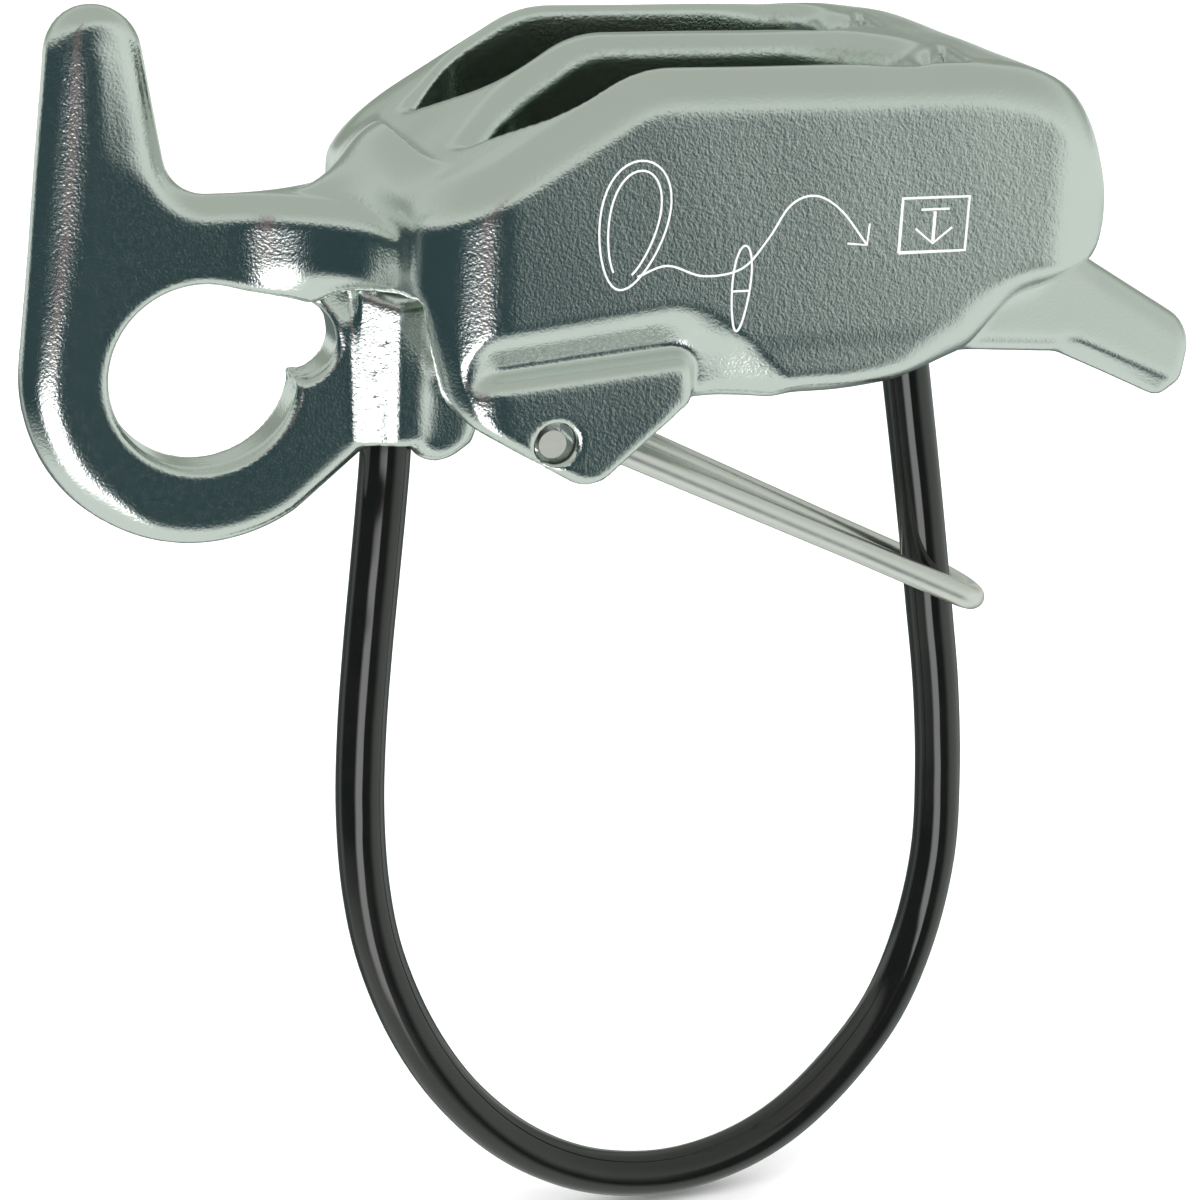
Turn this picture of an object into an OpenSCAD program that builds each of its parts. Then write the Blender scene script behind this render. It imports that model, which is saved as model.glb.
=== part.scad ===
// Belay device: a forged body with two rope slots, a swinging wire bail and a coated keeper loop.
// Frame: origin at the centre of the anchor eye, +X towards the thumb lip, +Z up, slots side by side along Y.

/* [Body block] */
// Height of the block's top face above the eye's centre
top_z = 27.9; // [25:0.1:30]
// X of the block's front wall
front_x = 13.3; // [12.5:0.1:14]
// X of the nose, at the far end of the block
nose_x = 77.4; // [75:0.2:79]
// Width across the two cheeks
body_w = 37; // [36:0.5:39]
// Thickness of one cheek
cheek_t = 4.3; // [3.5:0.1:5]
// Thickness of the rib between the slots
rib_t = 4.4; // [4:0.2:5]

/* [Rope slots] */
// X of the slots' front end
slot_x0 = 21.5; // [20:0.5:23]
// X of the slots' rear end
slot_x1 = 59.4; // [58:0.2:61]
// Length of the braking notch behind each slot's rear end
notch_d = 3.5; // [2:0.5:4]
// Depth of the braking notch below the top face
notch_h = 4; // [2:0.5:6]

/* [Fin, ring and neck] */
// Thickness of the plate that makes the fin, the ring and the neck
plate_t = 4.4; // [4:0.2:5]
// Radius of the anchor eye
eye_r = 8; // [7:0.5:9]
// Outer radius of the ring round the eye
ring_r = 15.1; // [14.5:0.1:15.5]
// Radius of the small side lobe of the eye
lobe_r = 3.2; // [2.5:0.1:3.4]
// Height of the neck's top edge
neck_z = 15.2; // [14:0.1:16]
// Height of the centre of the fin's round tip
tip_z = 26.8; // [24:0.1:28]
// Radius of the fin's round tip
tip_r = 3.9; // [3:0.1:4.2]

/* [Cable boss] */
// X of the boss and its cable
boss_x = 16.4; // [16:0.1:16.6]
// Height of the boss's lower face
boss_z0 = -7.2; // [-8:0.1:-7]
// Height of the boss's upper face
boss_z1 = 6.6; // [6.4:0.1:8]
// Thickness of the boss
boss_t = 7.2; // [7:0.2:8]

/* [Thumb lip] */
// Width of the lip
lip_w = 18; // [14:1:20]

/* [Wire bail] */
// Diameter of the bail's wire
wire_d = 2.4; // [2:0.1:2.6]
// Radius of the pivot holes in the ears
pivot_r = 1.75; // [1.6:0.05:2]
// Half distance between the bail's legs at the pivot
leg_y0 = 6.5; // [6:0.5:8]

/* [Keeper loop] */
// Outer diameter of the coated cable
cable_d = 4.5; // [4:0.1:4.5]
// Diameter of the steel rope inside the coating
core_d = 2.5; // [2:0.1:3]

/* [Hidden] */
$fn = 64;

aluminium = [0.62, 0.67, 0.65];
stainless = [0.78, 0.76, 0.72];
steel = [0.6, 0.6, 0.6];
black_coat = [0.04, 0.04, 0.045];

// Half sizes and places that follow from the driving dimensions
half_w = body_w / 2;
slot_y0 = rib_t / 2;
slot_y1 = half_w - cheek_t;
far = 60;

// Ear hinge: the wire lies against the front of its hole, so the hole's centre is a little further back
pivot_x = 25.2;
pivot_z = -2.2;
hole_shift = 0.25;

// Blind sockets for the cable's ends: the right one leans, so that the loop opens outwards
socket_r = cable_d / 2 + 0.05;
left_socket_z = 6;
right_socket_x = 65.8;
right_socket_lean = 12;
right_socket_depth = 8.2;

// Side outline of the cheeks and ears: [x, z, corner radius]
cheek_outline = [
    [front_x, 16.5, 3], [32.3, top_z, 10], [62, top_z, 25], [nose_x, top_z - 1.7, 13], [nose_x, 8.6, 4.5],
    [69, 7, 3.5], [64.6, 2.4, 3], [58, 0, 5], [36.8, 0, 1.5], [28.9, -6.8, 3], [17, 0.2, 5],
    [front_x, 10.4, 4]
];

// Side outline of the fin and neck; the ring's circle closes it below
tip_x = -8.5;
fin_outline = [
    [-ring_r, 0, 0], [tip_x - tip_r, tip_z, 0], [tip_x + tip_r, tip_z, 0], [-2.4, neck_z, 3.6],
    [15, neck_z, 0], [15, 0, 0]
];

// Side outline of the web between the ring and the boss
web_outline = [[0, -ring_r, 0], [8.5, -13, 3], [14.2, -7.6, 0], [14.2, 8, 0], [0, 0, 0]];

// Side outline of the heel, the rib's rounded lower corner behind the boss
heel_outline = [[boss_x, 8, 0], [30, 8, 0], [30, 0, 0], [24.4, -1.5, 3], [24, -8.7, 4], [boss_x, -8.7, 0]];

// Side outline of the thumb lip
lip_outline = [
    [slot_x1, 0, 0], [77.4, 0, 5], [90.6, -5.9, 2.8], [93.4, 1, 2.8], [82.6, 7.2, 6], [74, 13, 0],
    [slot_x1, 13, 0]
];

// Route of the keeper loop in the plane Y = 0: [x, z], from the boss round to the nose
keeper_route = [
    [16.4, 6], [16.4, -1], [16.4, -7.4], [16.1, -13], [15.6, -20], [15.1, -27], [14.7, -35],
    [14.7, -43], [15.4, -51], [17, -58.5], [20.1, -66.5], [24.3, -73.7], [29.5, -79.7],
    [35, -83.9], [41, -86.6], [48, -87.7], [55, -86.6], [61, -83.6], [66.4, -78.5], [70.9, -72],
    [73.6, -64], [74.8, -55], [74.4, -46], [73.2, -36.5], [71.5, -27.5], [69.8, -19], [68.4, -12.2],
    [67.1, -6.1], [65.8, 0], [64.95, 4], [64.1, 8]
];

// Fillet of radius p1[2] at p1, between the edges from p0 and to p2
function unit(v) = v / norm(v);
function corner(p0, p1, p2, steps = 8) =
    let (
        a = unit([p0[0] - p1[0], p0[1] - p1[1]]),
        b = unit([p2[0] - p1[0], p2[1] - p1[1]]),
        half = acos(a * b) / 2,
        c = [p1[0], p1[1]] + unit(a + b) * p1[2] / sin(half),
        from = [p1[0], p1[1]] + a * p1[2] / tan(half) - c,
        to = [p1[0], p1[1]] + b * p1[2] / tan(half) - c,
        a0 = atan2(from[1], from[0]),
        turn = (atan2(to[1], to[0]) - a0 + 540) % 360 - 180
    )
    [for (i = [0:steps]) c + p1[2] * [cos(a0 + turn * i / steps), sin(a0 + turn * i / steps)]];

// Outline with every corner rounded by its own radius
function rounded(pts) = [
    for (i = [0:len(pts) - 1])
        each pts[i][2] == 0
            ? [[pts[i][0], pts[i][1]]]
            : corner(pts[(i + len(pts) - 1) % len(pts)], pts[i], pts[(i + 1) % len(pts)])
];

// Plate between y0 and y1, with its outline in X and Z
module plate(y0, y1) {
    translate([0, y1, 0])
        rotate([90, 0, 0])
            linear_extrude(y1 - y0)
                children();
}

// Both mirror images of a shape, on +Y and -Y
module both_sides() {
    children();
    mirror([0, 1, 0])
        children();
}

// Block with both cheeks, before the slots are cut
module block() {
    front_r = 8;
    nose_r = 10;
    plan_outline = [
        [front_x, -half_w, front_r], [nose_x + 0.9, -half_w, nose_r],
        [nose_x + 0.9, half_w, nose_r], [front_x, half_w, front_r]
    ];
    intersection() {
        plate(-half_w, half_w)
            polygon(rounded(cheek_outline));
        translate([0, 0, -far / 2])
            linear_extrude(far)
                polygon(rounded(plan_outline));
    }
}

// Fin, ring, neck and heel
module spine() {
    heel_t = 6;
    plate(-plate_t / 2, plate_t / 2) {
        circle(ring_r);
        polygon(rounded(fin_outline));
        translate([tip_x, tip_z])
            circle(tip_r);
        polygon(rounded(web_outline));
    }
    plate(-heel_t / 2, heel_t / 2)
        polygon(rounded(heel_outline));
}

// Pad round the crimped cable end, with flats pressed into it
module boss() {
    flat = boss_t / 2;
    translate([0, 0, boss_z0])
        linear_extrude(boss_z1 - boss_z0)
            polygon([
                [12.9, -2.3], [16.4, -flat], [18.6, -flat], [22.8, -1.6],
                [22.8, 1.6], [18.6, flat], [16.4, flat], [12.9, 2.3]
            ]);
}

// Thumb lip and its root under the nose
module lip() {
    plate(-lip_w / 2, lip_w / 2)
        polygon(rounded(lip_outline));
}

// Through slot for the rope, with the braking notch in its top edge
module slot() {
    middle = (slot_y0 + slot_y1) / 2;
    notch_w = 5;
    translate([0, 0, -far / 2])
        linear_extrude(far)
            polygon(rounded([
                [slot_x0, slot_y0, 5], [slot_x1, slot_y0, 4], [slot_x1, slot_y1, 4], [slot_x0, slot_y1, 5]
            ]));
    translate([0, 0, top_z - notch_h])
        linear_extrude(far)
            polygon([
                [slot_x1 - 1, middle - notch_w / 2], [slot_x1 + notch_d, middle],
                [slot_x1 - 1, middle + notch_w / 2]
            ]);
}

// Space under the front wall, between the heel and a cheek
module front_relief() {
    roof_z = 8.6;
    plate(slot_y0 + 0.8, slot_y1)
        translate([0, roof_z - far])
            square([slot_x0 + 6, far]);
}

// Space under the rib, between the two ears
module rib_relief() {
    plate(-slot_y0 - 1, slot_y0 + 1)
        translate([24, -far])
            square([14, far]);
}

// Hollow above the ear, pressed into the cheek's face
module ear_hollow() {
    hollow_r = 4;
    depth = 1.4;
    translate([18.5, half_w + hollow_r - depth, 4.6])
        rotate([0, 86, 0])
            cylinder(h = 20, r = hollow_r);
}

// Round hole along Y
module cross_hole(x, z, r) {
    translate([x, 0, z])
        rotate([90, 0, 0])
            cylinder(h = body_w + 10, r = r, center = true);
}

// Blind socket for a cable end, open downwards
module socket(x, z, lean, depth) {
    below = 5;
    translate([x, 0, z])
        rotate([0, -lean, 0])
            translate([0, 0, -below])
                cylinder(h = depth + below, r = socket_r);
}

module body() {
    color(aluminium)
        difference() {
            union() {
                difference() {
                    union() {
                        block();
                        lip();
                    }
                    both_sides() {
                        slot();
                        front_relief();
                        ear_hollow();
                    }
                    rib_relief();
                }
                spine();
                boss();
            }
            cross_hole(0, 0, eye_r);
            intersection() {
                cross_hole(8.1, 2.6, lobe_r);
                cube([24, body_w, 24], center = true);
            }
            both_sides()
                translate([0, half_w, 0])
                    intersection() {
                        cross_hole(pivot_x + hole_shift, pivot_z, pivot_r);
                        translate([0, -cheek_t - 1, -far / 2])
                            cube(far);
                    }
            socket(boss_x, boss_z0, 0, left_socket_z - boss_z0);
            socket(right_socket_x, 0, right_socket_lean, right_socket_depth);
        }
}

// Direction of a flat path at its point i
function heading(path, i) = unit(path[min(i + 1, len(path) - 1)] - path[max(i - 1, 0)]);

// Ring of points round the path's point i; the ring lies square to the path
function ring(path, i, r, sides) =
    let (h = heading(path, i), p = path[i])
    [for (k = [0:sides - 1])
        let (a = 360 * (k + 0.5) / sides)
        [p[0] - r * cos(a) * h[1], p[1] + r * cos(a) * h[0], r * sin(a)]];

// Two triangles for each side between ring a and ring b, which are point offsets
function strip(a, b, sides) = [
    for (k = [0:sides - 1])
        let (n = (k + 1) % sides)
        each [[a + k, b + k, b + n], [a + k, b + n, a + n]]
];

// Tube along a path in the plane Z = 0; an inner radius of 0 makes it solid
module swept(path, r_out, r_in, sides) {
    count = len(path);
    last = (count - 1) * sides;
    inner = count * sides;
    outer_points = [for (i = [0:count - 1]) each ring(path, i, r_out, sides)];
    inner_points = [for (i = [0:count - 1]) each ring(path, i, r_in, sides)];
    outer_faces = [for (i = [0:count - 2]) each strip(i * sides, (i + 1) * sides, sides)];
    inner_faces = [for (i = [0:count - 2]) each strip(inner + (i + 1) * sides, inner + i * sides, sides)];
    start_cap = [for (k = [0:sides - 1]) k];
    end_cap = [for (k = [sides - 1:-1:0]) last + k];
    if (r_in > 0)
        polyhedron(
            concat(outer_points, inner_points),
            concat(outer_faces, inner_faces, strip(inner, 0, sides), strip(last, inner + last, sides))
        );
    else
        polyhedron(outer_points, concat(outer_faces, [start_cap, end_cap]));
}

// Bail wire: its ends turn in the ears, its legs close in on the loop and meet in a round tip
module bail() {
    leg_angle = 25.8;
    narrow_u = 40;
    tip_u = 52.2;
    tip_y = (cable_d + wire_d) / 2 + 0.3;
    end_y = half_w - 0.3;
    axle_in = leg_y0 + 3;
    bend = [0, leg_y0, 2.6];
    half = concat(
        [[0, axle_in + 2]],
        corner([0, end_y], bend, [narrow_u, tip_y], 6),
        [[20, (leg_y0 + tip_y) / 2]],
        corner(bend, [narrow_u, tip_y, 20], [tip_u, tip_y], 2)
    );
    other_half = [for (i = [len(half) - 1:-1:0]) [half[i][0], -half[i][1]]];
    tip = [for (a = [0:15:180]) [tip_u + tip_y * sin(a), tip_y * cos(a)]];
    color(stainless)
        translate([pivot_x, 0, pivot_z])
            rotate([0, leg_angle, 0]) {
                both_sides()
                    translate([0, axle_in, 0])
                        rotate([-90, 0, 0])
                            cylinder(h = end_y - axle_in, d = wire_d);
                swept(concat(half, tip, other_half), wire_d / 2 - 0.02, 0, 12);
            }
}

// The keeper's cable lies in the plane Y = 0
module keeper_tube(r_out, r_in) {
    rotate([90, 0, 0])
        swept(keeper_route, r_out, r_in, 10);
}

module keeper_core() {
    color(steel)
        keeper_tube(core_d / 2, 0);
}

module keeper_sheath() {
    color(black_coat)
        keeper_tube(cable_d / 2, core_d / 2 + 0.05);
}

body();
bail();
keeper_core();
keeper_sheath();
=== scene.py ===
"""Belay device: a forged aluminium body with two rope slots, a swinging wire bail and a coated keeper loop.

The forging is modelled as a signed distance field with rounded and filleted edges, in millimetres,
and meshed here; everything else is swept. All places are in the CAD model's own frame.
"""

import math

import bpy
import numpy as np
from mathutils import Matrix, Vector


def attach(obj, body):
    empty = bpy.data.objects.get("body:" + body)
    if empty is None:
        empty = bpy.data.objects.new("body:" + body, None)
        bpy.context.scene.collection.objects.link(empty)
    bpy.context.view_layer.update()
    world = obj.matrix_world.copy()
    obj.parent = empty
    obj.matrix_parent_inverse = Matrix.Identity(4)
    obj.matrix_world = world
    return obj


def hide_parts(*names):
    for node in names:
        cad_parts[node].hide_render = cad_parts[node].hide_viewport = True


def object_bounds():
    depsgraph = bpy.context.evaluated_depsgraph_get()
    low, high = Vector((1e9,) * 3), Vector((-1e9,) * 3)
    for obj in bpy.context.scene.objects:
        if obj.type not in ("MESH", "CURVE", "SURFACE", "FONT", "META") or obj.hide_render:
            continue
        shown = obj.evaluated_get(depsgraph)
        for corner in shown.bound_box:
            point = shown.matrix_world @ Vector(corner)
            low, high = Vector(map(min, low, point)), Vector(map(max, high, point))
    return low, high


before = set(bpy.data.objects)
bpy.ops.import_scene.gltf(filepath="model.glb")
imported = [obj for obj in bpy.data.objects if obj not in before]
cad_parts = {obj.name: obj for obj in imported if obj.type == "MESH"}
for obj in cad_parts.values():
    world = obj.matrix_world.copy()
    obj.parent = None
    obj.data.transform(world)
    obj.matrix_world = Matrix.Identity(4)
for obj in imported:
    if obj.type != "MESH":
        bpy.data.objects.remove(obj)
cad_lo, cad_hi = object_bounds()

MM = 0.001
scene = bpy.context.scene
scene.view_settings.view_transform = "Standard"

# ---------------------------------------------------------------- camera
CAM_AT = (-47.3, -214.3, 66.4)
CAM_RIGHT = (0.9360, -0.3486, 0.0491)
CAM_UP = (0.0849, 0.3587, 0.9296)
CAM_LENS = 80.55
camera_data = bpy.data.cameras.new("camera")
camera_data.lens = CAM_LENS
camera_data.sensor_width = 36
camera_data.clip_start = 0.01
camera_data.clip_end = 20
camera = bpy.data.objects.new("camera", camera_data)
scene.collection.objects.link(camera)
right = Vector(CAM_RIGHT).normalized()
up = Vector(CAM_UP)
up = (up - right * up.dot(right)).normalized()
back = right.cross(up)
facing_camera = Matrix((right, up, back)).transposed().to_4x4()
camera.matrix_world = Matrix.Translation(Vector(CAM_AT) * MM) @ facing_camera
scene.camera = camera


# ---------------------------------------------------------------- curves and meshes
def smooth_path(points, steps=6):
    """Catmull-Rom line through the points, with steps pieces between two of them."""
    p = np.array(points, float)
    p = np.vstack([2 * p[0] - p[1], p, 2 * p[-1] - p[-2]])
    line = []
    for i in range(1, len(p) - 2):
        for k in range(steps):
            t = k / steps
            line.append(
                0.5
                * (
                    2 * p[i]
                    + (p[i + 1] - p[i - 1]) * t
                    + (2 * p[i - 1] - 5 * p[i] + 4 * p[i + 1] - p[i + 2]) * t * t
                    + (3 * p[i] - p[i - 1] - 3 * p[i + 1] + p[i + 2]) * t**3
                )
            )
    line.append(p[-2])
    return np.array(line)


def tube_curve(name, lines, radius, sides=8):
    """Open poly curve of that radius through each line's points in millimetres, with closed ends."""
    data = bpy.data.curves.new(name, "CURVE")
    data.dimensions = "3D"
    data.bevel_depth = 1
    data.bevel_resolution = sides
    data.use_fill_caps = True
    for points in lines:
        spline = data.splines.new("POLY")
        spline.points.add(len(points) - 1)
        for at, point in zip(spline.points, points, strict=True):
            at.co = (point[0] * MM, point[1] * MM, point[2] * MM, 1)
            at.radius = radius * MM
        spline.use_smooth = True
    obj = bpy.data.objects.new(name, data)
    scene.collection.objects.link(obj)
    return obj


def mesh_object(name, vertices, faces, normals=None):
    """Smooth shaded mesh from vertices in millimetres."""
    mesh = bpy.data.meshes.new(name)
    mesh.from_pydata((np.asarray(vertices) * MM).tolist(), [], faces.tolist())
    mesh.shade_smooth()
    if normals is not None:
        mesh.normals_split_custom_set_from_vertices(normals.tolist())
    obj = bpy.data.objects.new(name, mesh)
    scene.collection.objects.link(obj)
    return obj


# ---------------------------------------------------------------- keeper loop
KEEPER_ROUTE = [
    (16.4, 6), (16.4, -1), (16.4, -7.4), (16.1, -13), (15.6, -20), (15.1, -27), (14.7, -35), (14.7, -43),
    (15.4, -51), (17, -58.5), (20.1, -66.5), (24.3, -73.7), (29.5, -79.7), (35, -83.9), (41, -86.6),
    (48, -87.7), (55, -86.6), (61, -83.6), (66.4, -78.5), (70.9, -72), (73.6, -64), (74.8, -55),
    (74.4, -46), (73.2, -36.5), (71.5, -27.5), (69.8, -19), (68.4, -12.2), (67.1, -6.1), (65.8, 0),
    (64.95, 4), (64.1, 8),
]
CABLE_D = 4.5
keeper = tube_curve("keeper_cable", [smooth_path([(x, 0, z) for x, z in KEEPER_ROUTE])], CABLE_D / 2, 10)
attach(keeper, "forging")
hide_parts("keeper_sheath")


# ---------------------------------------------------------------- distance fields
def corner(p0, p1, p2, r, steps=14):
    """Fillet of radius r at p1."""
    p0, p1, p2 = (np.array(p, float) for p in (p0, p1, p2))
    a, b = (p0 - p1) / np.linalg.norm(p0 - p1), (p2 - p1) / np.linalg.norm(p2 - p1)
    half = math.acos(max(-1, min(1, float(a @ b)))) / 2
    c = p1 + (a + b) / np.linalg.norm(a + b) * r / math.sin(half)
    start, end = p1 + a * r / math.tan(half) - c, p1 + b * r / math.tan(half) - c
    a0 = math.atan2(start[1], start[0])
    turn = (math.atan2(end[1], end[0]) - a0 + 3 * math.pi) % (2 * math.pi) - math.pi
    angles = [a0 + turn * k / steps for k in range(steps + 1)]
    return [c + r * np.array([math.cos(a), math.sin(a)]) for a in angles]


def rounded(points):
    """Closed outline of (a, b, corner radius) with its corners filleted."""
    n, line = len(points), []
    for i, (a, b, r) in enumerate(points):
        if r:
            line += corner(points[i - 1][:2], (a, b), points[(i + 1) % n][:2], r)
        else:
            line.append(np.array([a, b], float))
    return np.array(line)


def sd_outline(points, a, b):
    """Signed distance, negative inside, from the points (a, b) to a closed outline."""
    line = rounded(points)
    shape = np.broadcast_shapes(a.shape, b.shape)
    best, inside = np.full(shape, 1e9), np.zeros(shape, bool)
    for p, q in zip(line, np.roll(line, -1, 0), strict=True):
        e = q - p
        wa, wb = a - p[0], b - p[1]
        t = np.clip((wa * e[0] + wb * e[1]) / max(float(e @ e), 1e-12), 0, 1)
        best = np.minimum(best, (wa - t * e[0]) ** 2 + (wb - t * e[1]) ** 2)
        if p[1] != q[1]:
            crosses = ((p[1] > b) != (q[1] > b)) & (a < (q[0] - p[0]) * (b - p[1]) / (q[1] - p[1]) + p[0])
            inside ^= crosses
    return np.where(inside, -1, 1) * np.sqrt(best)


def ramp(low, high, v):
    """Smooth step from 0 at low to 1 at high."""
    t = np.clip((v - low) / (high - low), 0, 1)
    return t * t * (3 - 2 * t)


def joined(a, b, r):
    """Union with a fillet of radius r."""
    u, v = np.maximum(r - a, 0), np.maximum(r - b, 0)
    return np.maximum(r, np.minimum(a, b)) - np.sqrt(u * u + v * v)


def common(a, b, r):
    """Intersection with edges rounded to radius r."""
    u, v = np.maximum(r + a, 0), np.maximum(r + b, 0)
    return np.minimum(-r, np.maximum(a, b)) + np.sqrt(u * u + v * v)


def cut(a, b, r):
    """a without b, with edges rounded to radius r."""
    return common(a, -b, r)


def noise(x, y, z, size, seed):
    """Gentle irregular waves of about that size, from -1 to 1."""
    rng = np.random.default_rng(seed)
    total = 0
    for _ in range(7):
        d = rng.normal(size=3)
        d *= 2 * math.pi / size / np.linalg.norm(d) * rng.uniform(0.7, 1.4)
        total = total + np.sin(d[0] * x + d[1] * y + d[2] * z + rng.uniform(0, 6.28))
    return total / 4


PITCH = 0.42
EYE_R, RING_R, PLATE = 8.0, 15.15, 2.2
HALF_W, CHEEK_IN, RIB = 18.5, 14.2, 2.2
TOP, NOSE, SLOT_END = 27.9, 78.3, 59.3
FLARE_R, FAN_R, DRAFT = 12.0, 10.0, 0.018
SOCKET_R, NEAR_SOCKET_X, FAR_SOCKET_X, FAR_SOCKET_LEAN = 2.3, 16.4, 65.8, math.radians(12)
MARK_X, MARK_Z, MARK_GAP = 14.7, -5.6, 1.15
PIVOT, PIVOT_HOLE_R = (25.2, -2.2), 1.75

xs = np.arange(-16.6, 94.2, PITCH)
ys = np.arange(-19.6, 19.7, PITCH)
zs = np.arange(-16.6, 32.2, PITCH)


def arc(x, z, r, start, end, steps=40):
    """Outline points on a circle between two angles in degrees."""
    angles = np.radians(np.linspace(start, end, steps))
    return [(x + r * math.cos(a), z + r * math.sin(a), 0) for a in angles]


def forging(x, y, z):
    """Distance field of the forging at the grid (x, y, z)."""
    ay = np.abs(y)

    # Fin, neck, ring and web: one plate with broad rounded edges
    plate2 = sd_outline(
        [(24, -7.6, 0), (24, 15.2, 0), (-2.4, 15.2, 3.6)]
        + arc(-8.5, 26.8, 3.95, 10.2, 174.1)
        + arc(0, 0, RING_R, 174.1, 303)
        + [(14.2, -7.6, 1.5)],
        x,
        z,
    )
    left = ramp(-4, -9, x) * (1.3 + 1.0 * ramp(2, 14, z) * ramp(30, 20, z))
    right = 1.5 * ramp(16, 20, z) * ramp(-9.5, -7, x)
    reach = 2.2 - 0.8 * ramp(27, 30, z) + (left + right) * ramp(30.5, 27.5, z)
    # and the flare of the neck into the shoulders
    flare_x = np.clip(x - 2.0, 0, 11.4) * ramp(15.6, 14.4, x)
    root = np.sqrt(FLARE_R**2 - flare_x**2)
    flare = FLARE_R - root
    lean = flare_x / root
    flared = ramp(4.4, 9.8, z)
    face = (ay - PLATE - flare * flared) / np.sqrt(1 + (lean * flared) ** 2)
    plain = common(plate2 * PLATE / reach, ay - PLATE, PLATE)
    plate = common(plate2 * PLATE / reach, face, PLATE)

    # Heel behind the boss, down to the rib
    heel2 = sd_outline(
        [(17.5, 8, 0), (30, 8, 0), (30, 0, 0), (24.4, -1.5, 3), (24, -8.7, 4), (17.5, -8.7, 3)],
        x,
        z,
    )
    heel = common(heel2, ay - 3.1, 1.6)

    # Block with both cheeks and ears
    side2 = sd_outline(
        [
            (4, 10.8, 0), (32.3, TOP, 10), (62, TOP, 25), (NOSE, 26.2, 13), (NOSE, 8.6, 4.5),
            (69.0, 7.0, 3.5), (64.6, 2.4, 5), (57.5, 0, 9), (36.8, 0, 1.5), (28.9, -6.8, 3),
            (17, 0.2, 7), (13.3, 10.4, 5), (4, 10.6, 0),
        ],
        x,
        z,
    )
    end = NOSE + 1.0
    plan2 = sd_outline([(13.4, -HALF_W, 8), (end, -HALF_W, 10), (end, HALF_W, 10), (13.4, HALF_W, 8)], x, y)
    under = ramp(44, 48, x) * ramp(66, 58, x) * ramp(3.2, 0, z) ** 2
    plan2 = plan2 + (under + DRAFT * np.maximum(z, 0)) * ramp(10, 14, ay)
    edge = 2.1 - 1.1 * ramp(3, -1, z) * ramp(40, 37, x)
    edge = edge + 0.6 * ramp(40, 48, x) * ramp(12, 6, z) + 1.2 * ramp(14, 20, z)
    edge = edge + 1.2 * ramp(62, 78, x) * ramp(16, 24, z) + 3.6 * ramp(50, 64, x) * ramp(14, 8, z)
    block = common(side2 + 0.05 * np.maximum(ay - 13, 0) * ramp(14, 20, z), plan2, edge)
    block = common(block, 14.0 - x, 0.6)

    # Cove above and behind the ear
    cove2 = sd_outline(
        [(16.4, 3.2, 0.8), (19.2, 6.6, 2.4), (36.6, 8.7, 4.5), (44.6, 1.4, 4.5), (50, -6, 0), (16.4, -6, 0)],
        x,
        z,
    )
    ear2 = sd_outline([(10, 2.6, 0), (37.5, 4.75, 1.6), (38.0, -1, 0), (30, -12, 0), (10, -12, 0)], x, z)
    inward = np.clip(-cove2 / 5.0, -0.3, 1)
    depth = 2.1 * (1 - (1 - inward) ** 2) * ramp(16.6, 19.5, x)
    cove = common(HALF_W - depth - ay, -ear2, 0.9)
    block = cut(block, cove, 0.8 + 0.6 * ramp(6.5, 4.5, z) + 0.9 * ramp(36, 41, x))

    # Thumb lip, narrower at its top, with a shallow groove along each side
    lip2 = sd_outline(
        [
            (60, 1.6, 0), (77.4, -0.1, 5), (90.6, -5.9, 2.8), (93.4, 1.0, 2.8), (82.6, 7.2, 6),
            (74, 13, 0), (60, 13, 0),
        ],
        x,
        z,
    )
    height = (x - 77.4) * 0.379 + z * 0.925
    lip = common(lip2, (ay - 9.9 + 0.40 * height) * 0.93, 2.2)
    groove = np.exp(-(((ay - 9.3 + 0.4 * height) / 1.6) ** 2) - ((height - 0.8) / 0.95) ** 2)
    lip = lip + 0.42 * groove * ramp(76.5, 79.5, x) * ramp(93, 90, x)
    block = joined(block, lip, 3.0)

    # Rope slots, through from top to bottom, and the open space under the front wall
    slot2 = sd_outline(
        [
            (20.6, 8.2, 0.9), (26.4, RIB, 6), (SLOT_END, RIB, 5.5),
            (SLOT_END, CHEEK_IN, 3.5), (26.4, CHEEK_IN, 6),
        ],
        x,
        ay,
    )
    below = common(common(z - 8.6, 2.9 - ay, 1.6), common(ay - CHEEK_IN, x - 26, 1.0), 1.2)
    opening = joined(slot2, below, 1.2)
    rim = 0.5 + (1.15 - 0.95 * ramp(6, 10, ay) + 0.8 * ramp(34, 26, x) * ramp(11.5, 7, ay)) * ramp(9, 14, z)
    rim = rim + 1.1 * ramp(50, 57, x) * ramp(18, 24, z)
    block = cut(block, opening, rim)
    for middle in (-8.2, 8.2):
        px, py = x - 63.9, y - middle - 2.4
        steep = px * 0.975 - py * 0.222
        gentle = (-px * 0.78 + py * 0.625) * 0.866 + (TOP - z) * 0.5
        pocket = common(common(steep, gentle, 0.3), middle - 6.2 - y, 0.3)
        block = cut(block, pocket, 0.45)
    under_rib = common(common(ay - 3.3, z + 0.2, 0.8), common(24 - x, x - 38, 0.8), 0.8)
    block = cut(block, under_rib, 0.8)

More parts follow.
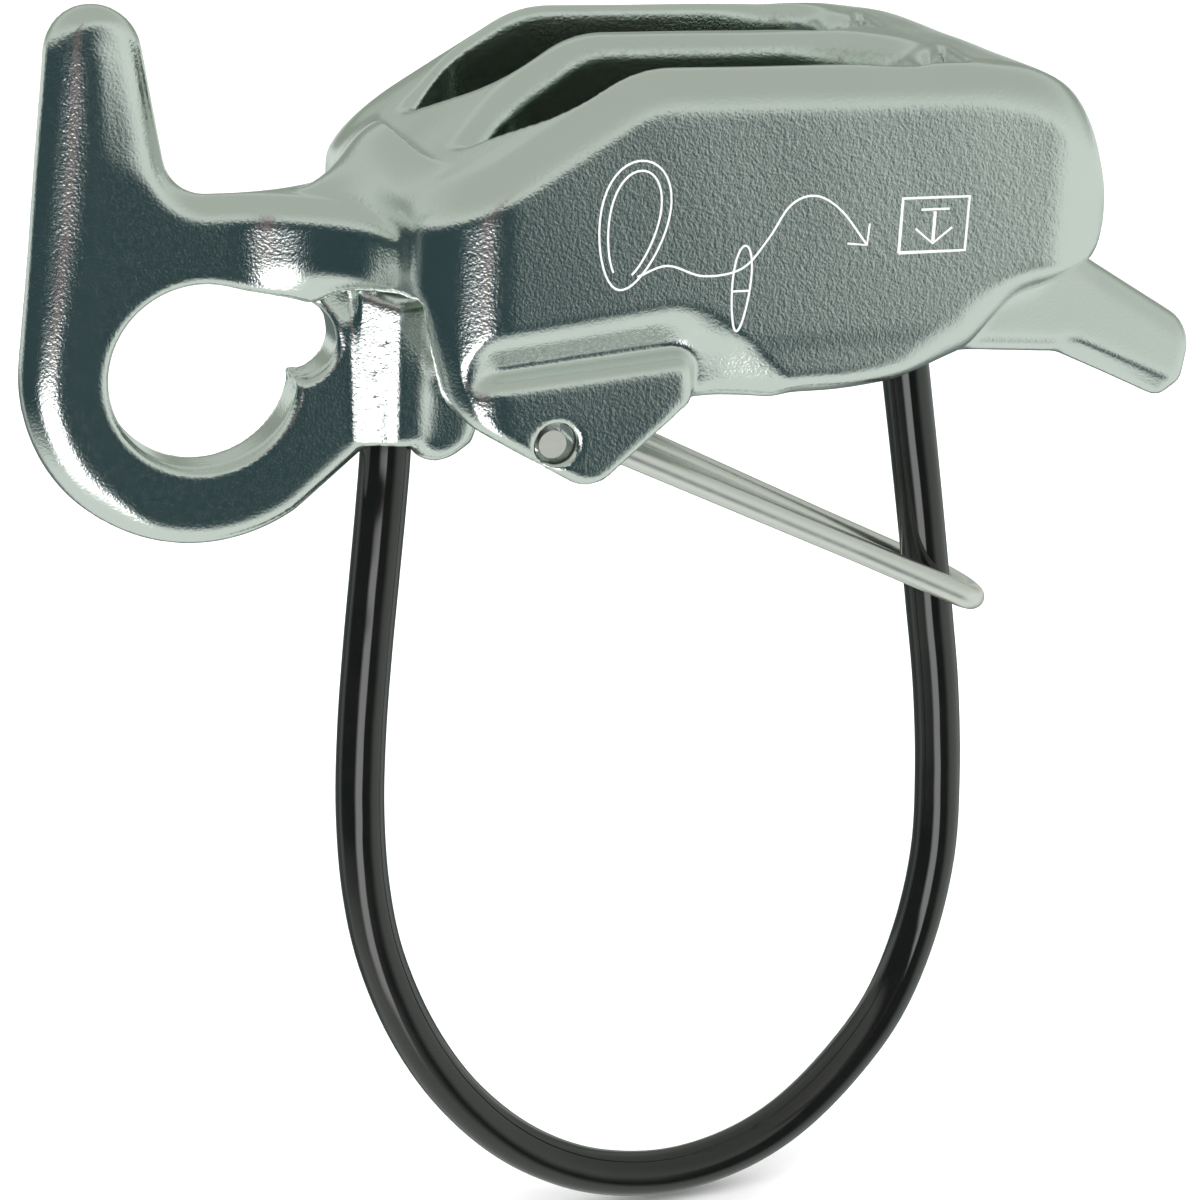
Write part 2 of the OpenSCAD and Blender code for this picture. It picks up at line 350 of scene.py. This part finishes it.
    # The neck swells into the shoulders
    fan = np.maximum(joined(block, np.maximum(plain, 2.5 * (x - 14.5)), FAN_R), 9.8 - z)
    body = np.minimum(fan, joined(block, plate, 0.8))
    crease = 6.0 + 0.75 * (x - 8.9) - 0.085 * (np.minimum(x, 15) - 8.9) ** 2 - 0.6 * np.maximum(x - 15, 0)
    deep = 1.25 - 0.36 * (crease - z)
    fold = common(z - crease - 0.15 * np.maximum(ay - 2.2, 0), 2.2 - deep - ay, 0.15)
    fold = common(fold, common(ay - CHEEK_IN, common(7.6 - x, x - 21, 0.3), 0.3), 0.3)
    body = cut(body, fold, 0.3)
    body = joined(body, heel, 1.0)

    # Boss round the crimped cable end, with one flat pressed along it
    boss2 = sd_outline(
        [
            (12.9, -1.8, 0), (12.9, -2.5, 0.25), (16.4, -3.75, 0.25), (18.6, -3.75, 0.9), (22.8, -1.6, 1.2),
            (22.8, 1.6, 1.2), (18.6, 3.75, 0.9), (16.4, 3.75, 0.25), (12.9, 2.5, 0.25), (12.9, 1.8, 0),
        ],
        x,
        y,
    )
    slope = (z - 6.3 + 0.9 * (ay - 3.5)) * 0.74
    bottom = (-6.9 - z - 0.25 * ramp(18, 22, x)) + 0.5 * np.maximum(ay - 3.0, 0)
    boss = common(common(boss2 + 0.03 * (6 - z), slope, 0.4), bottom, 0.5 + 1.2 * ramp(17, 21, x))
    row = np.floor((z - MARK_Z) / MARK_GAP)
    in_row = z - MARK_Z - MARK_GAP * (row + 0.5)
    marks = np.maximum(np.abs(in_row - 0.8 * (x - MARK_X - 0.1 * row)) - 0.16, np.abs(x - MARK_X) - 0.55)
    boss = boss + 0.13 * ramp(0.25, -0.1, marks) * ramp(2.4, 2.8, ay) * ramp(4.4, 4.0, z)
    body = joined(body, boss, 0.4)

    # Eye with its side lobe
    lobe = np.hypot(x - 8.1, z - 2.6) - 3.2
    eye = joined(np.hypot(x, z) - EYE_R, lobe, 0.1 + 4.5 * ramp(1.5, 4, z))
    burr = np.exp(-((x - 8.2) ** 2 + (z + 0.8) ** 2) / 0.5)
    eye = eye + 0.5 * burr * noise(x, y, z, 1.6, 5)
    body = cut(body, eye, 0.6)

    # Pivot holes and cable sockets
    hole = np.maximum(np.hypot(x - PIVOT[0] - 0.25, z - PIVOT[1]) - PIVOT_HOLE_R, 12 - ay)
    body = cut(body, hole, 0.4)
    across = (x - FAR_SOCKET_X) * math.cos(FAR_SOCKET_LEAN) + z * math.sin(FAR_SOCKET_LEAN)
    sockets = np.minimum(
        np.maximum(np.hypot(x - NEAR_SOCKET_X, y) - SOCKET_R, z - 6),
        np.maximum(np.hypot(across, y) - SOCKET_R, z - 8),
    )
    body = cut(body, sockets, 0.35)
    return body + 0.02 * noise(x, y, z, 9, 3)


def surface_nets(field, origin, pitch):
    """Quads on the field's zero surface, with one vertex in each cell that the surface crosses."""
    inside = field < 0
    n = [s - 1 for s in field.shape]
    cut_at = [(i, j, k) for i in (0, 1) for j in (0, 1) for k in (0, 1)]
    count = sum(inside[i : i + n[0], j : j + n[1], k : k + n[2]].astype(np.int8) for i, j, k in cut_at)
    cells = np.argwhere((count > 0) & (count < 8))
    index = np.full(n, -1, np.int64)
    index[tuple(cells.T)] = np.arange(len(cells))
    values = {c: field[tuple((cells + c).T)] for c in cut_at}
    total, hits = np.zeros((len(cells), 3)), np.zeros(len(cells))
    for a in cut_at:
        for axis in range(3):
            if a[axis]:
                continue
            b = tuple(1 if m == axis else a[m] for m in range(3))
            va, vb = values[a], values[b]
            crossed = (va < 0) != (vb < 0)
            t = np.where(crossed, va / np.where(crossed, va - vb, 1), 0)
            for m in range(3):
                total[:, m] += np.where(crossed, a[m] + (t if m == axis else 0), 0)
            hits += crossed
    points = cells + total / hits[:, None]
    quads = []
    for axis in range(3):
        u, v = (axis + 1) % 3, (axis + 2) % 3
        lo, hi = [slice(None)] * 3, [slice(None)] * 3
        lo[axis], hi[axis] = slice(0, -1), slice(1, None)
        first, second = inside[tuple(lo)], inside[tuple(hi)]
        for flip, mask in ((False, first & ~second), (True, ~first & second)):
            e = np.argwhere(mask)
            e = e[(e[:, u] > 0) & (e[:, v] > 0) & (e[:, u] < n[u]) & (e[:, v] < n[v])]
            ring = []
            for du, dv in ((1, 1), (0, 1), (0, 0), (1, 0)):
                c = e.copy()
                c[:, u] -= du
                c[:, v] -= dv
                ring.append(index[tuple(c.T)])
            quads.append(np.stack(ring[::-1] if flip else ring, 1))
    quads = np.concatenate(quads)
    return points * pitch + origin, quads


def sampled(field, points, origin, pitch):
    """Trilinear values of the fields in a list at the points."""
    g = (points - origin) / pitch
    i = np.clip(g.astype(int), 0, np.array(field[0].shape) - 2)
    f = g - i
    out = []
    for values in field:
        v = 0
        for a in (0, 1):
            for b in (0, 1):
                for c in (0, 1):
                    w = f[:, 0] if a else 1 - f[:, 0]
                    w = w * (f[:, 1] if b else 1 - f[:, 1])
                    w = w * (f[:, 2] if c else 1 - f[:, 2])
                    v = v + w * values[i[:, 0] + a, i[:, 1] + b, i[:, 2] + c]
        out.append(v)
    return out


def relaxed(points, quads):
    """Each point moved to the middle of its neighbours."""
    total, hits = np.zeros_like(points), np.zeros(len(points))
    for a in range(4):
        b = (a + 1) % 4
        for m in range(3):
            total[:, m] += np.bincount(quads[:, a], points[quads[:, b], m], len(points))
            total[:, m] += np.bincount(quads[:, b], points[quads[:, a], m], len(points))
        hits += np.bincount(quads[:, a], minlength=len(points))
        hits += np.bincount(quads[:, b], minlength=len(points))
    return total / hits[:, None]


origin = np.array([xs[0], ys[0], zs[0]])
field = forging(xs[:, None, None], ys[None, :, None], zs[None, None, :])
gradient = np.gradient(field, PITCH)
points, quads = surface_nets(field, origin, PITCH)
for step in range(4):
    if step:
        points = 0.5 * points + 0.5 * relaxed(points, quads)
    for _ in range(2):
        f, gx, gy, gz = sampled([field, *gradient], points, origin, PITCH)
        g = np.stack([gx, gy, gz], 1)
        points = points - np.clip(f / np.maximum((g * g).sum(1), 0.05), -0.3, 0.3)[:, None] * g
gx, gy, gz = sampled(gradient, points, origin, PITCH)
normals = np.stack([gx, gy, gz], 1)
normals /= np.linalg.norm(normals, axis=1)[:, None]
body = mesh_object("forged_body", points, quads, normals)
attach(body, "forging")
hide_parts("body")
print("forging", len(points), "points", len(quads), "quads")


# ---------------------------------------------------------------- wire bail
WIRE_D = 2.4
LEG_ANGLE = math.radians(25.8)
LEG_Y, TIP_Y, TIP_U, NARROW_U, END_Y, BEND_R = 6.5, 3.75, 52.2, 40.0, 18.2, 2.6


def bail_line():
    """Centre line of the bail as (distance along the legs, y)."""
    half = [(0, END_Y)]
    half += [tuple(p) for p in corner((0, END_Y), (0, LEG_Y), (NARROW_U, TIP_Y), BEND_R, 10)]
    for k in range(1, 12):
        t = k / 12
        half.append((4 + (NARROW_U - 6) * t, LEG_Y + (TIP_Y - LEG_Y) * (4 + (NARROW_U - 6) * t) / NARROW_U))
    half += [tuple(p) for p in corner((0, LEG_Y), (NARROW_U, TIP_Y), (TIP_U, TIP_Y), 20, 5)]
    tip = [(TIP_U + TIP_Y * math.sin(a), TIP_Y * math.cos(a)) for a in np.linspace(0, math.pi, 25)]
    return half + tip + [(u, -y) for u, y in reversed(half)]


wire = tube_curve(
    "bail_wire",
    [[(PIVOT[0] + u * math.cos(LEG_ANGLE), y, PIVOT[1] - u * math.sin(LEG_ANGLE)) for u, y in bail_line()]],
    WIRE_D / 2,
    8,
)
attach(wire, "wire_bail")
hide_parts("bail")


# ---------------------------------------------------------------- printed line art on the front cheek
def oval(x, z, half_x, half_z, lean, gap=0.0):
    """Closed line, wider at its top, round (x, z)."""
    line = []
    for t in np.linspace(gap, 2 * math.pi - gap, 41):
        a, b = half_x * math.sin(t) * (1 - 0.22 * math.cos(t)), -half_z * math.cos(t)
        across, along = a * math.cos(lean) + b * math.sin(lean), b * math.cos(lean) - a * math.sin(lean)
        line.append((x + across, z + along))
    return line


def framed(x0, z0, x1, z1):
    """Closed rectangle."""
    return [(x0, z0), (x1, z0), (x1, z1), (x0, z1), (x0, z0)]


ROPE_LINE = [
    (31.8, 11.6), (34.4, 12.4), (37.6, 11.4), (41, 11.9), (43.2, 14.3), (45, 17), (47.2, 17.7), (49.6, 16.4),
    (52.2, 13.4),
]
THIN_ART = [
    oval(31.2, 15.8, 2.9, 5.3, 0.18),
    oval(31.2, 15.8, 2.1, 4.5, 0.18, 0.5),
    oval(41, 10.2, 0.8, 3.6, 0.05),
    [(40.3, 10.0), (41.7, 10.0)],
    [(x, z) for x, _, z in smooth_path([(x, 0, z) for x, z in ROPE_LINE])],
    [(50.4, 13.6), (52.2, 13.4), (52.3, 15.2)],
    [(57.0, 16.2), (59.6, 16.2)],
    [(56.6, 14.6), (58.3, 13.3), (60, 14.6)],
]
THICK_ART = [framed(55.2, 12.6, 61.4, 17.2), [(58.3, 16.0), (58.3, 13.5)]]


def on_cheek_face(line):
    """The line in space, half sunk in the front cheek."""
    return [(x, DRAFT * z - HALF_W + 0.02, z) for x, z in line]


thin_print = tube_curve("cheek_print_thin", [on_cheek_face(line) for line in THIN_ART], 0.1, 2)
thick_print = tube_curve("cheek_print_thick", [on_cheek_face(line) for line in THICK_ART], 0.15, 2)
for printed in (thin_print, thick_print):
    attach(printed, "forging")


# ---------------------------------------------------------------- materials
class Nodes:
    """Short names for building a node tree."""

    def __init__(self, tree):
        self.tree = tree
        tree.nodes.clear()

    def add(self, kind, **settings):
        node = self.tree.nodes.new(kind)
        for key, value in settings.items():
            setattr(node, key, value)
        return node

    def link(self, output, target):
        self.tree.links.new(output, target)

    def put(self, target, value):
        if hasattr(value, "is_output"):
            self.link(value, target)
        else:
            target.default_value = value

    def math(self, operation, a, b=0.0, c=0.0, clamp=False):
        node = self.add("ShaderNodeMath", operation=operation, use_clamp=clamp)
        for target, value in zip(node.inputs, (a, b, c), strict=False):
            self.put(target, value)
        return node.outputs[0]

    def step(self, value, low, high):
        """Smooth step from 0 at low to 1 at high; low may be over high."""
        node = self.add("ShaderNodeMapRange", interpolation_type="SMOOTHSTEP")
        self.put(node.inputs["Value"], value)
        if low <= high:
            ends = (low, high, 0, 1)
        else:
            ends = (high, low, 1, 0)
        for name, end in zip(("From Min", "From Max", "To Min", "To Max"), ends, strict=True):
            node.inputs[name].default_value = end
        return node.outputs[0]

    def noise(self, where, scale, detail=2.0, roughness=0.5):
        node = self.add("ShaderNodeTexNoise")
        self.link(where, node.inputs["Vector"])
        node.inputs["Scale"].default_value = scale
        node.inputs["Detail"].default_value = detail
        node.inputs["Roughness"].default_value = roughness
        return node.outputs["Fac"]

    def mix(self, amount, a, b):
        node = self.add("ShaderNodeMix", data_type="RGBA")
        self.put(node.inputs[0], amount)
        for target, value in ((node.inputs[6], a), (node.inputs[7], b)):
            self.put(target, value if hasattr(value, "is_output") else (*value, 1))
        return node.outputs[2]

    def bump(self, height, distance, strength=1.0, normal=None):
        node = self.add("ShaderNodeBump")
        node.inputs["Strength"].default_value = strength
        node.inputs["Distance"].default_value = distance
        self.link(height, node.inputs["Height"])
        if normal is not None:
            self.link(normal, node.inputs["Normal"])
        return node.outputs["Normal"]


def material(name):
    made = bpy.data.materials.new(name)
    made.use_nodes = True
    n = Nodes(made.node_tree)
    shader = n.add("ShaderNodeBsdfPrincipled")
    out = n.add("ShaderNodeOutputMaterial")
    n.link(shader.outputs[0], out.inputs[0])
    where = n.add("ShaderNodeTexCoord").outputs["Object"]
    return made, n, shader, where


def wear(obj, *made):
    obj.data.materials.clear()
    for m in made:
        obj.data.materials.append(m)


# Tumbled forged aluminium: bright metal with a fine peel on its broad faces, with painted shade darkening
# its colour inside the slots
aluminium, n, shader, where = material("forged_aluminium")
parts = n.add("ShaderNodeSeparateXYZ")
n.link(where, parts.inputs[0])
at_x, at_y, at_z = parts.outputs
face = n.add("ShaderNodeNewGeometry").outputs["Normal"]
facing = n.add("ShaderNodeSeparateXYZ")
n.link(face, facing.inputs[0])
side = n.math("ABSOLUTE", at_y)
sideways = n.step(n.math("ABSOLUTE", facing.outputs[1]), 0.25, 0.85)
on_cheek = n.step(side, 0.009, 0.016)
amount = n.math("MULTIPLY", on_cheek, n.math("MULTIPLY_ADD", n.step(at_x, 0.022, 0.044), 0.18, 0.06))
amount = n.math("ADD", amount, 0.06)
amount = n.math("MULTIPLY", amount, n.math("MULTIPLY_ADD", sideways, 0.8, 0.2))
peel = n.noise(where, 1900, 3.0, 0.6)
sparkle = n.noise(where, 4200, 1.0)
height = n.math("MULTIPLY", peel, amount)
fine = n.bump(sparkle, 0.00002)
n.link(n.bump(height, 0.00009, 1.0, fine), shader.inputs["Normal"])
# Mask for painted shade: the slot walls from about 1.6 mm below the top downwards, between the rib and the
# cheek
roof = n.math("MINIMUM", 0.0277, n.math("MULTIPLY_ADD", n.math("SUBTRACT", at_x, 0.0133), 0.602, 0.0157))
ragged = n.math("MULTIPLY_ADD", peel, 0.002, n.math("SUBTRACT", roof, at_z))
down = n.step(ragged, 0.0016, 0.0032)
painted_slot_shade = n.math("MULTIPLY", n.step(side, 0.0017, 0.0021), n.step(side, 0.0148, 0.0143))
slot_length = n.math("MULTIPLY", n.step(at_x, 0.0185, 0.021), n.step(at_x, 0.0655, 0.0645))
painted_slot_shade = n.math("MULTIPLY", painted_slot_shade, slot_length)
painted_slot_shade = n.math("MULTIPLY", n.math("MULTIPLY", painted_slot_shade, down), n.step(at_z, -0.001, 0.004))
patches = n.noise(where, 120, 3.0)
tone = n.mix(patches, (0.80, 0.845, 0.82), (0.87, 0.90, 0.875))
# Painted shade: the metal's colour is darkened to a dull green deep inside the rope slots, where shade falls
tone = n.mix(n.math("MULTIPLY", painted_slot_shade, 0.9), tone, (0.54, 0.61, 0.54))
n.link(tone, shader.inputs["Base Color"])
n.link(n.math("MULTIPLY_ADD", peel, 0.10, 0.12), shader.inputs["Roughness"])
shader.inputs["Metallic"].default_value = 1.0
wear(body, aluminium)

# White print on the cheek
paint, n, shader, where = material("white_print")
n.link(n.mix(n.noise(where, 900, 2.0), (0.78, 0.80, 0.79), (0.92, 0.93, 0.92)), shader.inputs["Base Color"])
shader.inputs["Roughness"].default_value = 0.6
for printed in (thin_print, thick_print):
    wear(printed, paint)

# Bright drawn stainless wire
stainless, n, shader, where = material("bright_wire")
stretch = n.add("ShaderNodeMapping")
stretch.inputs["Rotation"].default_value = (0, LEG_ANGLE, 0)
stretch.inputs["Scale"].default_value = (60, 2600, 2600)
n.link(where, stretch.inputs["Vector"])
lines = n.noise(stretch.outputs[0], 1.0, 3.0)
sawn = n.add("ShaderNodeSeparateXYZ")
n.link(where, sawn.inputs[0])
ends = n.step(n.math("ABSOLUTE", sawn.outputs[1]), 0.01812, 0.01818)
n.link(n.mix(lines, (0.88, 0.86, 0.83), (0.96, 0.95, 0.92)), shader.inputs["Base Color"])
rough = n.math("MULTIPLY_ADD", lines, 0.16, 0.24)
n.link(n.math("MULTIPLY_ADD", ends, 0.35, rough), shader.inputs["Roughness"])
n.link(n.bump(lines, 0.00001), shader.inputs["Normal"])
shader.inputs["Metallic"].default_value = 1.0
wear(wire, stainless)

# Glossy black coating over the steel rope
coat, n, shader, where = material("black_coat")
speckle = n.noise(where, 300, 3.0)
waves = n.noise(where, 60, 2.0)
n.link(n.mix(speckle, (0.004, 0.004, 0.004), (0.010, 0.009, 0.008)), shader.inputs["Base Color"])
n.link(n.math("MULTIPLY_ADD", speckle, 0.06, 0.03), shader.inputs["Roughness"])
shader.inputs["Specular IOR Level"].default_value = 0.8
n.link(n.bump(waves, 0.0004, 1.0), shader.inputs["Normal"])
wear(keeper, coat)

# Stranded steel rope inside the coating
rope, n, shader, where = material("steel_rope")
strands = n.add("ShaderNodeTexWave", wave_type="BANDS", bands_direction="DIAGONAL")
strands.inputs["Scale"].default_value = 400
n.link(where, strands.inputs["Vector"])
n.link(n.mix(strands.outputs["Fac"], (0.35, 0.35, 0.35), (0.65, 0.65, 0.63)), shader.inputs["Base Color"])
n.link(n.bump(strands.outputs["Fac"], 0.0001), shader.inputs["Normal"])
shader.inputs["Metallic"].default_value = 1.0
shader.inputs["Roughness"].default_value = 0.35
wear(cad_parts["keeper_core"], rope)


# ---------------------------------------------------------------- studio
def studio_world():
    """Tent that the metal mirrors, with dark openings low in front and behind; all else sees plain white."""
    world = bpy.data.worlds.new("studio")
    scene.world = world
    world.use_nodes = True
    n = Nodes(world.node_tree)
    where = n.add("ShaderNodeTexCoord").outputs["Generated"]
    parts = n.add("ShaderNodeSeparateXYZ")
    n.link(where, parts.inputs[0])
    x, y, z = parts.outputs
    degrees = 180 / math.pi
    turn = n.math("MULTIPLY", n.math("ARCTAN2", x, n.math("MULTIPLY", y, -1.0)), degrees)
    rise = n.math("MULTIPLY", n.math("ARCSINE", z), degrees)
    behind = n.math("MULTIPLY", n.math("ARCTAN2", x, y), degrees)

    def window(turn_of, left0, left1, right1, right0, low0, low1, high1, high0):
        across = n.math("MULTIPLY", n.step(turn_of, left0, left1), n.step(turn_of, right0, right1))
        upright = n.math("MULTIPLY", n.step(rise, low0, low1), n.step(rise, high0, high1))
        return n.math("MULTIPLY", across, upright)

    tent = n.mix(n.step(rise, -10, 50), (0.66, 0.72, 0.67), (0.42, 0.46, 0.41))
    rear = window(behind, -75, -25, 45, 95, -3, 3, 13, 26)
    tent = n.mix(n.math("MULTIPLY", rear, 0.8), tent, (0.20, 0.235, 0.185))
    rear = window(behind, -70, -35, 45, 80, -60, -44, -18, -9)
    tent = n.mix(n.math("MULTIPLY", rear, 0.85), tent, (0.05, 0.08, 0.085))
    slanted = n.math("ADD", turn, n.math("MULTIPLY", n.math("ADD", rise, 16.0), 0.6))
    across = n.math("MULTIPLY", n.step(turn, -128, -104), n.step(slanted, 48, 16))
    upright = n.math("MULTIPLY", n.step(rise, -50, -26), n.step(rise, 15, 0))
    tent = n.mix(n.math("MULTIPLY", across, upright), tent, (0.026, 0.052, 0.058))
    hands = window(turn, -23, -18, -14, -9, -24, -20, 20, 40)
    tent = n.mix(n.math("MULTIPLY", hands, 0.75), tent, (0.21, 0.14, 0.14))
    card = window(turn, -46, -30, -10, -4, -50, -38, -19.5, -16)
    tent = n.mix(card, tent, (2.6, 2.6, 2.6))
    mirrored = n.add("ShaderNodeLightPath").outputs["Is Glossy Ray"]
    sky = n.mix(mirrored, (1.0, 1.0, 1.0), tent)
    background = n.add("ShaderNodeBackground")
    n.link(sky, background.inputs["Color"])
    out = n.add("ShaderNodeOutputWorld")
    n.link(background.outputs[0], out.inputs["Surface"])


studio_world()


def soft_light(name, at, size, power):
    """Square light aimed at the object, which only lights and isn't mirrored."""
    data = bpy.data.lights.new(name, "AREA")
    data.size = size
    data.energy = power
    light = bpy.data.objects.new(name, data)
    light.location = at
    light.rotation_mode = "QUATERNION"
    light.rotation_quaternion = (Vector(at) - Vector((0.04, 0, -0.03))).to_track_quat("Z", "Y")
    light.visible_glossy = False
    scene.collection.objects.link(light)


soft_light("key", (-0.2, -0.3, 0.9), 0.9, 7)
soft_light("fill", (0.6, 0.3, 0.8), 0.9, 4)

floor_mesh = bpy.data.meshes.new("floor")
FLOOR_Z = cad_lo.z - 0.0006
ring = [(3 * math.cos(a), 3 * math.sin(a), FLOOR_Z) for a in np.linspace(0, 2 * math.pi, 65)[:-1]]
floor_mesh.from_pydata(ring, [], [list(range(64))])
floor = bpy.data.objects.new("floor", floor_mesh)
scene.collection.objects.link(floor)
floor.visible_glossy = False
pale, n, shader, where = material("pale_floor")
n.link(n.mix(n.noise(where, 8, 2.0), (0.93, 0.93, 0.93), (0.95, 0.95, 0.95)), shader.inputs["Base Color"])
shader.inputs["Roughness"].default_value = 0.9
wear(floor, pale)

bpy.context.view_layer.update()
